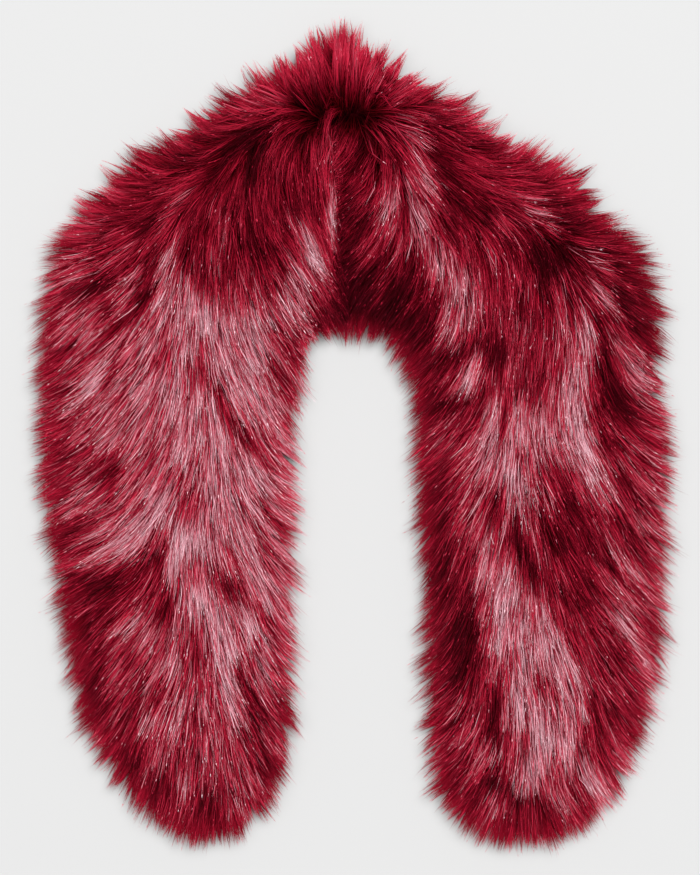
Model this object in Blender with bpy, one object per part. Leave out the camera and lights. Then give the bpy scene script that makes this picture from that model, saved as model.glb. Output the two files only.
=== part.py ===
"""Fur collar wrap laid flat: two long-pile fur panels joined by a centre-back seam.

The wrap lies on the plane z = 0 as an upside-down U. X runs across the wrap, Y from the
rounded ends up to the back of the neck, and Z up from the surface it lies on.
"""

import math

import bmesh
import bpy
import numpy as np

# ---------------------------------------------------------------- driving dimensions
MM = 0.001
SEAM_X = -6.0            # centre-back seam line, mm
SEAM_GAP = 0.3           # clear space between the two panels at that seam, mm
STATIONS = 128           # sections along each panel
NECK_STEPS = 9           # steps over the pile from the neck edge to the roll
OUTER_STEPS = 6          # steps over the pile from the roll to the outer edge
ROLL_STEP = 5.5          # distance of the rows that edge the roll from its bottom, mm
UNDER_STEPS = 3          # steps over the flat underside
BASE_INSET = 13.0        # how far the resting underside is set in from the pile edge, mm
LOW_INSET = 5.0          # inset of the pile edge half way down, mm
LOW_Z = 8.0              # height of that lower ring, mm
RIM_Z = 19.0             # height at which the pile reaches furthest out, mm
TIP_Z_DROP = 4.0         # how much lower that is at the rounded ends, mm
RISE_REACH = 66.0        # distance in from the edge over which the pile reaches full height
RISE_POWER = 2.3         # roundness of that rise
SEAM_PART_DEPTH = 9.0    # depth of the parting in the pile along the seam, mm
SEAM_PART_WIDTH = 9.0    # its half width, mm
LOCK_PITCH = 21.0        # spacing of the locks along a panel, mm
LOCK_HEIGHT = 2.2        # height of the lock ridges on the pile, mm
LOCK_REACH = 4.0         # how far lock tips stand out past the mean edge, mm
LOCK_SWEEP = 0.75        # how far a lock runs on towards the ends for each mm outwards
LOCK_FADE = 26.0         # lock ridges fade within this distance of the combed middle line
ROLL_HALF = 9.0          # half width of the fold at the roll, mm
LIFT_HALF = 17.0         # half width of the raised pile in front of it, mm

# ------------------------------------------------------------------ panel sections
# One row a section, from the centre-back seam to the rounded end, lengths in mm.
# nx, ny: point on the neck edge; ox, oy: point on the outer edge; crown: pile height;
# roll: share of the way from neck to outer edge where the collar folds over; dip: depth
# of that fold; lift: rise of the rolled pile just in front of it.
SECTION_COLUMNS = ("nx", "ny", "ox", "oy", "crown", "roll", "dip", "lift")
LEFT_SECTIONS = (
    (-6.0, 60.6, -6.0, 243.5, 54.0, 0.705, 26.0, 3.0),
    (-13.0, 58.6, -26.0, 235.5, 55.0, 0.730, 22.0, 4.5),
    (-18.3, 54.6, -48.0, 221.0, 56.0, 0.750, 17.0, 6.0),
    (-21.5, 51.0, -74.0, 206.5, 55.0, 0.752, 14.0, 6.0),
    (-24.5, 47.0, -107.7, 183.6, 54.0, 0.735, 12.0, 6.0),
    (-28.0, 40.0, -141.3, 158.6, 52.0, 0.705, 8.0, 5.0),
    (-30.4, 31.6, -166.0, 132.6, 50.0, 0.680, 3.5, 3.0),
    (-31.8, 21.0, -180.3, 109.6, 48.0, 0.660, 0.5, 1.0),
    (-32.7, 9.6, -186.6, 83.6, 47.0, 0.640, 0.0, 0.0),
    (-33.3, -8.4, -189.3, 48.6, 46.0, 0.620, 0.0, 0.0),
    (-33.9, -38.4, -188.8, -8.4, 46.0, 0.600, 0.0, 0.0),
    (-34.5, -74.4, -183.9, -56.4, 46.0, 0.580, 0.0, 0.0),
    (-34.5, -116.4, -177.0, -98.4, 45.0, 0.560, 0.0, 0.0),
    (-34.5, -152.4, -170.1, -140.4, 44.0, 0.540, 0.0, 0.0),
    (-36.3, -185.4, -159.8, -176.4, 43.0, 0.520, 0.0, 0.0),
    (-41.0, -206.0, -146.1, -201.4, 41.0, 0.500, 0.0, 0.0),
    (-52.5, -224.4, -128.9, -223.4, 38.0, 0.500, 0.0, 0.0),
    (-65.7, -236.4, -112.5, -236.4, 34.0, 0.500, 0.0, 0.0),
    (-77.0, -243.0, -99.5, -243.2, 29.0, 0.500, 0.0, 0.0),
    (-86.5, -245.0, -90.5, -245.0, 24.0, 0.500, 0.0, 0.0),
)
RIGHT_SECTIONS = (
    (-6.0, 60.6, -6.0, 243.5, 54.0, 0.705, 26.0, 3.0),
    (-0.3, 60.2, 16.0, 235.0, 56.0, 0.735, 22.0, 4.5),
    (6.9, 59.2, 37.0, 220.0, 57.0, 0.770, 18.0, 6.0),
    (11.5, 58.2, 61.0, 206.0, 57.0, 0.765, 16.0, 7.0),
    (16.5, 56.6, 87.0, 189.0, 56.0, 0.700, 15.0, 7.0),
    (22.0, 53.6, 115.5, 172.0, 55.0, 0.610, 13.0, 6.0),
    (27.0, 48.6, 142.5, 149.0, 54.0, 0.530, 8.0, 4.0),
    (29.0, 45.2, 150.5, 135.5, 53.5, 0.510, 5.0, 3.0),
    (30.8, 41.4, 166.0, 124.0, 53.0, 0.500, 3.0, 2.0),
    (33.3, 32.4, 179.6, 99.6, 51.0, 0.500, 0.0, 0.0),
    (35.1, 22.8, 186.9, 73.6, 50.0, 0.500, 0.0, 0.0),
    (36.9, 3.6, 188.0, 42.6, 49.0, 0.500, 0.0, 0.0),
    (38.1, -26.4, 190.5, 3.6, 48.0, 0.500, 0.0, 0.0),
    (38.7, -62.4, 190.2, -38.4, 47.0, 0.500, 0.0, 0.0),
    (41.3, -107.4, 188.9, -96.4, 46.0, 0.500, 0.0, 0.0),
    (43.5, -152.4, 184.5, -140.4, 45.0, 0.500, 0.0, 0.0),
    (45.3, -185.4, 176.1, -176.4, 44.0, 0.500, 0.0, 0.0),
    (49.5, -209.0, 162.5, -206.4, 42.0, 0.500, 0.0, 0.0),
    (57.8, -225.0, 148.0, -226.5, 38.0, 0.500, 0.0, 0.0),
    (71.8, -237.2, 134.0, -238.0, 33.0, 0.500, 0.0, 0.0),
    (89.5, -243.8, 118.0, -243.8, 28.0, 0.500, 0.0, 0.0),
    (101.5, -245.2, 106.5, -245.2, 24.0, 0.500, 0.0, 0.0),
)

# ------------------------------------------------------------------- folds in the pile
# One row a fold, a line through three points in plan, all in mm. depth is how far the
# pile dips at its two ends and middle (a negative dip is a raised roll); half is its
# half width.
FOLD_COLUMNS = ("name", "ax", "ay", "bx", "by", "cx", "cy", "dip_a", "dip_b", "dip_c", "half")
FOLDS = (
    ("right_shoulder_notch", 112.0, 126.0, 128.0, 108.0, 138.0, 84.0, 6.0, 11.0, 9.0, 10.0),
    ("right_shoulder_fold", 138.0, 84.0, 148.0, 40.0, 158.0, -4.0, 8.0, 6.0, 1.0, 10.0),
    ("right_shoulder_roll", 150.0, 122.0, 166.0, 88.0, 170.0, 50.0, -3.0, -4.0, -2.0, 13.0),
    ("left_leg_part", -97.0, 45.0, -100.0, -40.0, -92.0, -120.0, 2.0, 3.0, 2.0, 12.0),
    ("right_leg_part", 106.0, 30.0, 112.0, -40.0, 104.0, -120.0, 2.0, 3.0, 2.0, 12.0),
    ("left_outer_dent", -158.0, 88.0, -142.0, 62.0, -122.0, 40.0, 1.0, 4.0, 1.0, 12.0),
    ("left_low_dent", -140.0, -60.0, -124.0, -84.0, -110.0, -104.0, 1.0, 4.0, 1.0, 11.0),
    ("right_low_dent", 84.0, -92.0, 96.0, -120.0, 110.0, -146.0, 1.0, 4.0, 1.0, 11.0),
)

# --------------------------------------------------------------------------- helpers


def smooth_rows(rows, count):
    """Resample table rows at even steps of outer-edge length by a Catmull-Rom curve."""
    data = np.array(rows, dtype=float)
    neck_step = np.hypot(*np.diff(data[:, 0:2], axis=0).T)
    outer_step = np.hypot(*np.diff(data[:, 2:4], axis=0).T)
    knots = np.concatenate(([0.0], np.cumsum(0.35 * neck_step + 0.65 * outer_step)))
    wanted = np.linspace(0.0, knots[-1], count)
    slopes = np.gradient(data, knots, axis=0)
    spans = np.clip(np.searchsorted(knots, wanted, side="right") - 1, 0, len(knots) - 2)
    width = knots[spans + 1] - knots[spans]
    t = ((wanted - knots[spans]) / width)[:, None]
    width = width[:, None]
    low = data[spans]
    high = data[spans + 1]
    low_slope = slopes[spans] * width
    high_slope = slopes[spans + 1] * width
    return (
        (2 * t**3 - 3 * t**2 + 1) * low
        + (t**3 - 2 * t**2 + t) * low_slope
        + (-2 * t**3 + 3 * t**2) * high
        + (t**3 - t**2) * high_slope
    )


def distance_to_line(points, line):
    """Distance of each plan point to a polyline, and where along it (0 to 1) it falls."""
    best = np.full(len(points), np.inf)
    along = np.zeros(len(points))
    lengths = np.hypot(*np.diff(line, axis=0).T)
    starts = np.concatenate(([0.0], np.cumsum(lengths)))
    for k in range(len(line) - 1):
        edge = line[k + 1] - line[k]
        span = max(float(edge @ edge), 1e-9)
        t = np.clip((points - line[k]) @ edge / span, 0.0, 1.0)
        gap = np.hypot(*(points - line[k] - t[:, None] * edge).T)
        nearer = gap < best
        best = np.where(nearer, gap, best)
        along = np.where(nearer, (starts[k] + t * lengths[k]) / starts[-1], along)
    return best, along


def curve_through(a, b, c, steps=16):
    """Points on the parabola through three plan points."""
    t = np.linspace(0.0, 1.0, steps)[:, None]
    return (
        2 * (t - 0.5) * (t - 1) * np.array(a)
        - 4 * t * (t - 1) * np.array(b)
        + 2 * t * (t - 0.5) * np.array(c)
    )


def fold_dips(points):
    """Total dip of the pile at each plan point from every fold in the table."""
    total = np.zeros(len(points))
    for row in FOLDS:
        fold = dict(zip(FOLD_COLUMNS, row))
        line = curve_through(
            (fold["ax"], fold["ay"]), (fold["bx"], fold["by"]), (fold["cx"], fold["cy"])
        )
        gap, along = distance_to_line(points, line)
        depth = np.interp(along, (0.0, 0.5, 1.0), (fold["dip_a"], fold["dip_b"], fold["dip_c"]))
        total += depth * np.exp(-((gap / fold["half"]) ** 2))
    return total


def edge_normals(line, outward):
    """Unit plan normals along an edge line, square to it away from the seam."""
    tangent = np.gradient(line, axis=0)
    normal = np.stack((tangent[:, 1], -tangent[:, 0]), axis=1) * outward
    normal = normal / np.hypot(*normal.T)[:, None]
    normal[:, 0] *= np.clip(np.abs(line[:, 0] - SEAM_X) / 30.0, 0.0, 1.0)
    return normal / np.hypot(*normal.T)[:, None]


def lock_shape(phase):
    """Smooth uneven wave of period 1: rises slowly to 1, then drops to -1."""
    turn = 2.0 * math.pi * phase
    return np.sin(turn + 0.55 * np.sin(turn))


def lock_wave(length, pitch, seed):
    """Uneven wave along an edge: near 1 at a lock's tip, near -1 in the gap beside it."""
    phase = length / pitch + 0.24 * np.sin(length / (2.7 * pitch) + seed)
    size = 0.74 + 0.26 * np.sin(length / (1.63 * pitch) + 2.3 * seed)
    return lock_shape(phase) * size


def run_length(line):
    """Length along a polyline at each of its points."""
    return np.concatenate(([0.0], np.cumsum(np.hypot(*np.diff(line, axis=0).T))))


# --------------------------------------------------------------------- panel building


def shares_across(roll, width):
    """Shares of the way over the pile for each row of points, close set at the roll."""
    edge = ROLL_STEP / max(width, 4.0 * ROLL_STEP)
    neck_part = np.linspace(0.0, 1.0, NECK_STEPS + 1)[1:] * (roll - edge)
    outer_part = np.linspace(0.0, 1.0, OUTER_STEPS + 1)[:-1] * (1.0 - roll - edge)
    return np.concatenate((neck_part, [roll], roll + edge + outer_part))


def build_panel(name, rows, side, colour, collection):
    """Loft one fur panel through its sections; side is -1 for left, +1 for right."""
    table = smooth_rows(rows, STATIONS)
    section = {column: table[:, k] for k, column in enumerate(SECTION_COLUMNS)}
    neck = np.stack((section["nx"], section["ny"]), axis=1)
    outer = np.stack((section["ox"], section["oy"]), axis=1)
    neck_out = edge_normals(neck, side)
    outer_out = edge_normals(outer, -side)
    seam_face = SEAM_X + side * SEAM_GAP / 2
    from_seam = np.clip(np.abs(outer[:, 0] - SEAM_X) / 22.0, 0.0, 1.0)
    to_end = np.clip((STATIONS - 1 - np.arange(STATIONS)) / 10.0, 0.0, 1.0)
    calm = np.minimum(from_seam, 0.35 + 0.65 * to_end)
    neck_lock = LOCK_REACH * 0.8 * calm * lock_wave(run_length(neck), LOCK_PITCH * 0.8, 1.0 + side)
    outer_lock = LOCK_REACH * calm * lock_wave(run_length(outer), LOCK_PITCH, 2.0 + side)
    rim_z = RIM_Z - TIP_Z_DROP * (1.0 - to_end)

    rings = []
    for k in range(STATIONS):
        neck_low = neck[k] + neck_out[k] * (0.4 * neck_lock[k] - LOW_INSET)
        neck_rim = neck[k] + neck_out[k] * neck_lock[k]
        outer_low = outer[k] + outer_out[k] * (0.4 * outer_lock[k] - LOW_INSET)
        outer_rim = outer[k] + outer_out[k] * outer_lock[k]
        neck_base = neck[k] - neck_out[k] * BASE_INSET
        outer_base = outer[k] - outer_out[k] * BASE_INSET
        ring = [(*neck_base, 0.0), (*neck_low, LOW_Z), (*neck_rim, rim_z[k])]
        width = float(np.hypot(*(outer[k] - neck[k])))
        for share in shares_across(section["roll"][k], width):
            ring.append((*(neck_rim * (1.0 - share) + outer_rim * share), rim_z[k]))
        ring += [(*outer_rim, rim_z[k]), (*outer_low, LOW_Z), (*outer_base, 0.0)]
        for j in range(1, UNDER_STEPS):
            share = j / UNDER_STEPS
            ring.append((*(outer_base * (1.0 - share) + neck_base * share), 0.0))
        rings.append(ring)
    grid = np.array(rings)

    rows_across = NECK_STEPS + OUTER_STEPS + 1
    top = slice(3, 3 + rows_across)
    plan = grid[:, top, 0:2].reshape(-1, 2)
    edge = np.concatenate((neck, outer[::-1]))
    from_edge, _ = distance_to_line(plan, edge)
    rise = np.clip(from_edge / RISE_REACH, 0.0, 1.0)
    rise = (1.0 - (1.0 - rise) ** RISE_POWER) ** (1.0 / 1.7)
    rim_here = np.repeat(rim_z, rows_across)
    height = rim_here + (np.repeat(section["crown"], rows_across) - rim_here) * rise

    middle = 0.5 * (neck + outer)
    from_middle, along = distance_to_line(plan, middle)
    run = along * run_length(middle)[-1] - LOCK_SWEEP * from_middle
    wander = 0.30 * np.sin(run / 31.0 + from_middle / 23.0 + side)
    ridge = lock_shape(run / LOCK_PITCH + wander)
    fade = np.clip(from_middle / LOCK_FADE, 0.15, 1.0) * np.clip(from_edge / 10.0, 0.4, 1.0)
    height += LOCK_HEIGHT * ridge * fade

    roll_line = neck + (outer - neck) * section["roll"][:, None]
    from_roll, along_roll = distance_to_line(plan, roll_line)
    run_roll = run_length(roll_line) / run_length(roll_line)[-1]
    dip = np.interp(along_roll, run_roll, section["dip"])
    lift = np.interp(along_roll, run_roll, section["lift"])
    behind = np.tile(np.arange(rows_across) > NECK_STEPS, STATIONS)
    height -= dip * np.exp(-((from_roll / ROLL_HALF) ** 2))
    front = np.exp(-(((from_roll - 1.3 * LIFT_HALF) / LIFT_HALF) ** 2))
    height += lift * front * np.where(behind, -0.4, 1.0)

    parting = np.abs(plan[:, 0] - SEAM_X) / SEAM_PART_WIDTH
    height -= SEAM_PART_DEPTH * np.exp(-(parting**2)) * np.clip(from_edge / 25.0, 0.0, 1.0)
    height -= fold_dips(plan) * np.clip(from_edge / 12.0, 0.2, 1.0)
    grid[:, top, 2] = np.maximum(height, LOW_Z + 5.0).reshape(STATIONS, rows_across)
    grid[0, :, 0] = seam_face

    mesh = bpy.data.meshes.new(name)
    body = bmesh.new()
    verts = [[body.verts.new(point * MM) for point in ring] for ring in grid]
    count = len(verts[0])
    for k in range(STATIONS - 1):
        for j in range(count):
            nxt = (j + 1) % count
            body.faces.new((verts[k][j], verts[k][nxt], verts[k + 1][nxt], verts[k + 1][j]))
    body.faces.new(verts[0][::-1])
    body.faces.new(verts[-1])
    bmesh.ops.triangulate(body, faces=list(body.faces), quad_method="SHORT_EDGE")
    bmesh.ops.recalc_face_normals(body, faces=list(body.faces))
    for face in body.faces:
        face.smooth = True
    body.to_mesh(mesh)
    body.free()

    material = bpy.data.materials.new(name + "_pile")
    material.use_nodes = True
    shader = material.node_tree.nodes["Principled BSDF"]
    shader.inputs["Base Color"].default_value = (*colour, 1.0)
    shader.inputs["Roughness"].default_value = 0.62
    shader.inputs["Metallic"].default_value = 0.0
    mesh.materials.append(material)
    panel = bpy.data.objects.new(name, mesh)
    collection.objects.link(panel)
    return panel


# ------------------------------------------------------------------------------ main
for old in list(bpy.data.objects):
    bpy.data.objects.remove(old, do_unlink=True)

wrap = bpy.data.collections.new("fur_collar_wrap")
bpy.context.scene.collection.children.link(wrap)

left_panel = build_panel("left_fur_panel", LEFT_SECTIONS, -1, (0.26, 0.015, 0.035), wrap)
right_panel = build_panel("right_fur_panel", RIGHT_SECTIONS, 1, (0.24, 0.013, 0.031), wrap)

# Centre the pair on the origin, the plan middle of everything at the surface it lies on.
panels = (left_panel, right_panel)
every = np.array([vertex.co[:] for panel in panels for vertex in panel.data.vertices])
centre = 0.5 * (every.min(axis=0) + every.max(axis=0))
for panel in panels:
    for vertex in panel.data.vertices:
        vertex.co.x -= centre[0]
        vertex.co.y -= centre[1]
    panel.data.update()
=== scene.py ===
"""Looks of the fur collar wrap: fur cloth under long combed pile, laid flat on a pale floor.

Lengths in the tables are millimetres in the frame's axes: X across the wrap, Y from the
rounded ends up to the back of the neck, Z up from the floor.
"""

import math
from collections import namedtuple

import bmesh
import bpy
import numpy as np
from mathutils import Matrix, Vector
from mathutils.bvhtree import BVHTree


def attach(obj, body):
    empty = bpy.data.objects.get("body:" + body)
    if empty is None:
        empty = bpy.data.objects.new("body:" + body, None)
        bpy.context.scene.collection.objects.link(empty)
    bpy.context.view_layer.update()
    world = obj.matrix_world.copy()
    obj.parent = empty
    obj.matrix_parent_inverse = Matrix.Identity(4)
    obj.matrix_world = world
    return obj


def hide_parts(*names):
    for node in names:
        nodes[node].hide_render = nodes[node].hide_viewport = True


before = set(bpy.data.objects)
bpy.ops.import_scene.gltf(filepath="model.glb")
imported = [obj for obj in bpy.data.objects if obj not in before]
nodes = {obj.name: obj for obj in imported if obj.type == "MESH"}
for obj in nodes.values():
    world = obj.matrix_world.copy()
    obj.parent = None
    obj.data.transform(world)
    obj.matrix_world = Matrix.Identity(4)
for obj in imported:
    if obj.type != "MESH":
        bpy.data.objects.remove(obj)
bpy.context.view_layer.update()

MM = 0.001
TINY = 1e-6  # keeps divisions clear of zero
SEAM_X = -6.7  # where the two fur panels meet at the centre back
NECK_Y = 188.0  # the pile parts at the seam below this line
CELL = 2.0  # spacing of the lookup fields
HALF_WIDTH, HALF_LENGTH = 224.0, 278.0  # how far they reach from the middle
FIELD_X = np.arange(-HALF_WIDTH, HALF_WIDTH + 1.0, CELL)
FIELD_Y = np.arange(-HALF_LENGTH, HALF_LENGTH + 1.0, CELL)
GRID_X, GRID_Y = np.meshgrid(FIELD_X, FIELD_Y)
EVERYWHERE = np.ones(GRID_X.shape, dtype=bool)
rng = np.random.default_rng(20)

# ---- comb of the pile
# One row a line combed across the wrap: its height y, where it starts and stops, and the
# way the hair points at even steps between, in degrees clockwise from +X. So 90 points to
# the rounded ends, 180 off the left shoulder, and 270 or -90 over the back of the neck.
Comb = namedtuple("Comb", "y first_x last_x headings")
COMB_STEP = 9.0  # spacing of the strokes along a line
COMB_REACH = 8.0  # how far a stroke rules the pile
COMB_FAR = 1e-5  # faint say of each stroke in places that none reaches
LEFT_COMB = (
    # back of the neck and shoulder
    (234, -38, -8, (242, 256, 268)),
    (220, -62, -8, (215, 230, 243, 257, 268)),
    (208, -75, -8, (204, 205, 218, 238, 257, 268)),
    (201, -79, -8, (198, 199, 200, 216, 252, 268)),
    (196, -83, -32, (197, 191, 184, 184, 200)),
    (190, -92, -38, (196, 186, 162, 158, 170)),
    (184, -101, -17, (197, 187, 160, 146, 142, 108, 80)),
    (175, -122, -14, (198, 195, 186, 178, 150, 130, 125, 116, 92, 80)),
    (164, -134, -14, (196, 195, 188, 174, 162, 128, 112, 106, 96, 80, 80)),
    (154, -147, -15, (193, 194, 187, 176, 161, 145, 112, 100, 96, 88, 79, 79)),
    (143, -159, -15, (190, 188, 182, 172, 158, 138, 116, 104, 92, 85, 80, 76, 77)),
    (132, -169, -13, (179, 178, 172, 164, 155, 136, 114, 99, 87, 77, 72, 70, 71, 79)),
    (119, -174, -18, (170, 168, 160, 154, 146, 126, 112, 98, 85, 75, 67, 64, 63, 71)),
    (106, -180, -12, (165, 161, 154, 149, 142, 124, 110, 97, 86, 75, 67, 61, 58, 60, 76)),
    (93, -183, -15, (158, 155, 151, 145, 138, 124, 107, 96, 88, 77, 67, 60, 56, 59, 68)),
    (77, -186, -18, (151, 149, 146, 142, 131, 117, 105, 97, 91, 84, 74, 65, 57, 56, 70)),
    # hanging end
    (57, -185, -36, (140, 142, 121, 99, 88, 70, 54)),
    (35, -182, -43, (142, 141, 126, 103, 87, 73, 57)),
    (14, -181, -39, (140, 142, 131, 104, 85, 66, 55)),
    (-10, -181, -38, (140, 145, 138, 108, 85, 66, 53)),
    (-34, -177, -38, (145, 145, 136, 109, 84, 63, 52)),
    (-60, -175, -38, (145, 143, 134, 104, 81, 62, 54)),
    (-87, -173, -38, (140, 146, 136, 101, 78, 58, 53)),
    (-112, -168, -38, (138, 137, 126, 100, 78, 58, 57)),
    (-137, -164, -38, (132, 129, 115, 96, 80, 61, 60)),
    (-162, -157, -38, (130, 121, 105, 93, 82, 63, 62)),
    (-186, -149, -42, (127, 115, 101, 93, 83, 66, 63)),
    (-208, -137, -50, (124, 113, 100, 92, 82, 70, 60)),
    (-231, -122, -58, (118, 108, 98, 91, 82, 73, 64)),
)
RIGHT_COMB = (
    # back of the neck and shoulder
    (233, -2, 22, (-88, -71, -57)),
    (217, -3, 33, (-89, -70, -52, -37)),
    (205, -5, 55, (-89, -69, -48, -35, -30, -26)),
    (198, 21, 69, (-35, -5, -12, -19, -25)),
    (193, 22, 76, (36, 22, 5, -5, -10, -14)),
    (186, -2, 96, (112, 92, 68, 52, 41, 29, 16, 10, 5, -2, -10, -20)),
    (174, -5, 115, (122, 108, 72, 54, 45, 23, 12, 5, -1, -9, -19)),
    (163, -5, 127, (130, 118, 88, 62, 53, 34, 21, 12, 6, 0, -8, -18)),
    (153, -5, 139, (133, 122, 98, 72, 58, 47, 33, 23, 15, 8, 2, -6, -17)),
    (141, -5, 151, (135, 127, 112, 86, 68, 58, 46, 36, 27, 19, 11, 2, -9, -16)),
    (127, -5, 163, (135, 127, 113, 95, 78, 66, 57, 48, 40, 33, 30, -30, -16, -11, -7)),
    (113, -3, 177, (134, 127, 117, 105, 90, 77, 70, 64, 58, 61, 84, 70, 24, 4, 4, 9)),
    (97, -2, 178, (132, 128, 122, 114, 101, 87, 81, 78, 82, 89, 86, 70, 54, 35, 21, 16)),
    (82, -1, 179, (125, 126, 122, 117, 109, 98, 90, 88, 91, 91, 85, 75, 63, 50, 36, 23)),
    (66, -2, 178, (98, 107, 114, 120, 117, 110, 104, 101, 98, 94, 91, 89, 83, 64, 46, 31)),
    # hanging end
    (51, 29, 178, (120, 127, 123, 106, 96, 92, 88, 61, 40)),
    (31, 33, 180, (130, 129, 115, 100, 94, 91, 77, 56, 40)),
    (13, 35, 184, (128, 131, 118, 97, 90, 82, 67, 44, 35)),
    (-12, 35, 185, (126, 128, 117, 98, 84, 72, 59, 45, 38)),
    (-38, 36, 185, (128, 124, 117, 98, 80, 68, 60, 50, 44)),
    (-65, 37, 185, (132, 122, 110, 95, 76, 66, 61, 54, 47)),
    (-92, 40, 186, (130, 121, 106, 92, 78, 65, 62, 56, 46)),
    (-118, 42, 181, (125, 115, 104, 92, 81, 71, 64, 57, 49)),
    (-145, 42, 179, (128, 124, 103, 96, 80, 70, 64, 56, 49)),
    (-173, 42, 169, (138, 133, 115, 99, 91, 85, 72, 61, 54)),
    (-197, 48, 162, (134, 127, 115, 101, 92, 85, 75, 63, 56)),
    (-219, 56, 151, (130, 120, 108, 97, 89, 81, 72, 64, 58)),
    (-234, 73, 136, (114, 104, 96, 88, 81, 75, 66)),
)

# ---- frosted places, painted sheen and painted shade
# Tones of the pile, nearly black to silvery pink: dyed frost and painted sheen, and painted shade where dark.
INK, DEEP, DARK, CRIMSON, ROSE, PINK, FROST, SILVER = 0.0, 0.10, 0.25, 0.40, 0.55, 0.69, 0.84, 1.0
PLAIN_TONE = 0.29
TONE_EDGE = 1.4  # how sharply a painted place ends

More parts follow.
